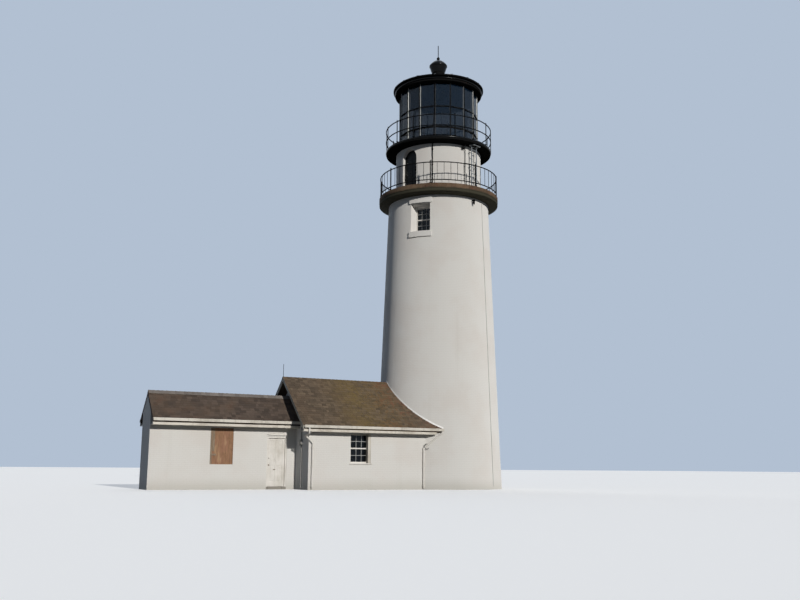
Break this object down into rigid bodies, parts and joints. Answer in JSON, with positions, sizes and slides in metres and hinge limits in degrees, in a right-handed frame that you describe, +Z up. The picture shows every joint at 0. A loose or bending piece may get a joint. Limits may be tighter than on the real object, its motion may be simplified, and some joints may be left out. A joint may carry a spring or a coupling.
{
  "type": "lighthouse",
  "caption": "Round white masonry light tower with stone and iron galleries, a glazed lantern, a gabled workroom and a covered passage with a hinged door.",
  "frame": {"origin": "centre of the tower's ground floor, at ground level on the tower's axis", "axes": "+Z up the tower, -X from the tower along the workroom and the passage, -Y out of the side with the windows and the ground-level door"},
  "size_m": [15.506, 5.496, 20.723],
  "materials": {
    "white_masonry": "painted brick, matt",
    "tan_stone": "weathered sandstone",
    "floor_stone": "worn concrete",
    "black_iron": "gloss black paint on iron",
    "lantern_pane": "clear",
    "window_pane": "clear over a dark room",
    "white_wood": "white paint",
    "dark_wood": "dark brown paint",
    "shingle": "weathered shingles with moss",
    "raw_board": "weathered bare sheet",
    "galvanised": "dull zinc"
  },
  "bodies": {
    "building": {"boarded_window": "raw_board", "gable_conduit": "galvanised", "gable_wall_back": "white_masonry", "gable_wall_front": "white_masonry", "gable_wall_over_door": "white_masonry", "gallery_lamps": "black_iron", "lantern_cornice": "black_iron", "lantern_floor": "black_iron", "lantern_glass": "lantern_pane", "lantern_glazing_bars": "black_iron", "lantern_mullions": "black_iron", "lantern_parapet": "black_iron", "lantern_roof": "black_iron", "lightning_conductor": "black_iron", "lightning_rod": "black_iron", "lower_gallery_deck": "tan_stone", "lower_gallery_railing": "black_iron", "passage_back_wall": "white_masonry", "passage_door_frame": "white_wood", "passage_door_hood": "white_masonry", "passage_end_wall": "white_masonry", "passage_floor": "floor_stone", "passage_front_wall": "white_masonry", "passage_front_wall_end": "white_masonry", "passage_gutters": "white_wood", "passage_roof_back": "shingle", "passage_roof_front": "shingle", "passage_wall_over_door": "white_masonry", "rain_pipes": "white_wood", "ridge_rod": "black_iron", "roof_flashing": "white_wood", "roof_ventilator": "black_iron", "shaft_window_sash": "white_wood", "shaft_window_surround": "white_masonry", "tower_floor": "floor_stone", "tower_wall_1": "white_masonry", "tower_wall_2": "white_masonry", "tower_wall_3": "white_masonry", "tower_wall_4": "white_masonry", "tower_wall_5": "white_masonry", "tower_wall_6": "white_masonry", "tower_wall_7": "white_masonry", "tower_wall_over_door": "white_masonry", "upper_gallery_deck": "black_iron", "upper_gallery_railing": "black_iron", "watch_room_door": "black_iron", "watch_room_floor": "floor_stone", "watch_room_ladder": "galvanised", "watch_room_pipes": "black_iron", "watch_room_wall": "white_masonry", "window_glass": "window_pane", "workroom_back_wall": "white_masonry", "workroom_floor": "floor_stone", "workroom_front_wall": "white_masonry", "workroom_gutters": "white_wood", "workroom_rake_boards": "dark_wood", "workroom_roof_back": "shingle", "workroom_roof_front": "shingle", "workroom_window_sashes": "white_wood"},
    "door": {"passage_door": "white_wood"}
  },
  "joints": [
    {"name": "passage_door_hinge", "type": "hinge", "parent": "building", "child": "door", "pos_m": [-7.376, -0.519, 0], "axis": [0, 0, -1], "range_deg": [0, 95]}
  ]
}
